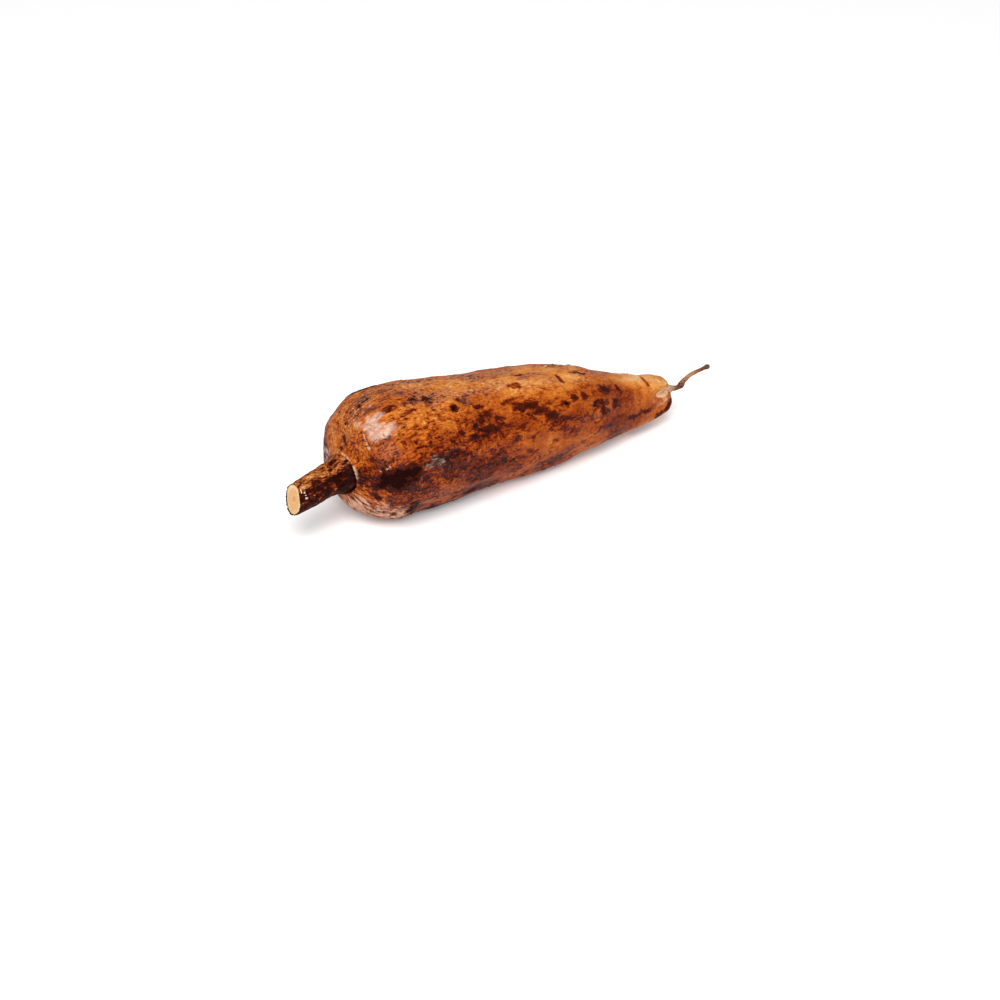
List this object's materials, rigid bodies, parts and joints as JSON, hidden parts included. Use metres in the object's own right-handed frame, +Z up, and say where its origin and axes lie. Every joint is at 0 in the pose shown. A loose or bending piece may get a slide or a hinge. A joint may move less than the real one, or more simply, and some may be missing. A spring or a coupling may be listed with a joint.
{
  "type": "cassava root",
  "caption": "Whole tapering root with a cut woody neck, a blunt shoulder, a split nose and a thin tail rootlet, lying on its belly.",
  "frame": {"origin": "under the middle of the root's box, at the height that it rests on", "axes": "+X along the root from the cut neck to the tail, +Z up, -Y the side with the split in the nose"},
  "size_m": [0.2868, 0.0722, 0.0715],
  "materials": {
    "bark": "waxed corky bark, soft gloss"
  },
  "bodies": {
    "root": {"cassava_root": "bark"}
  },
  "joints": []
}
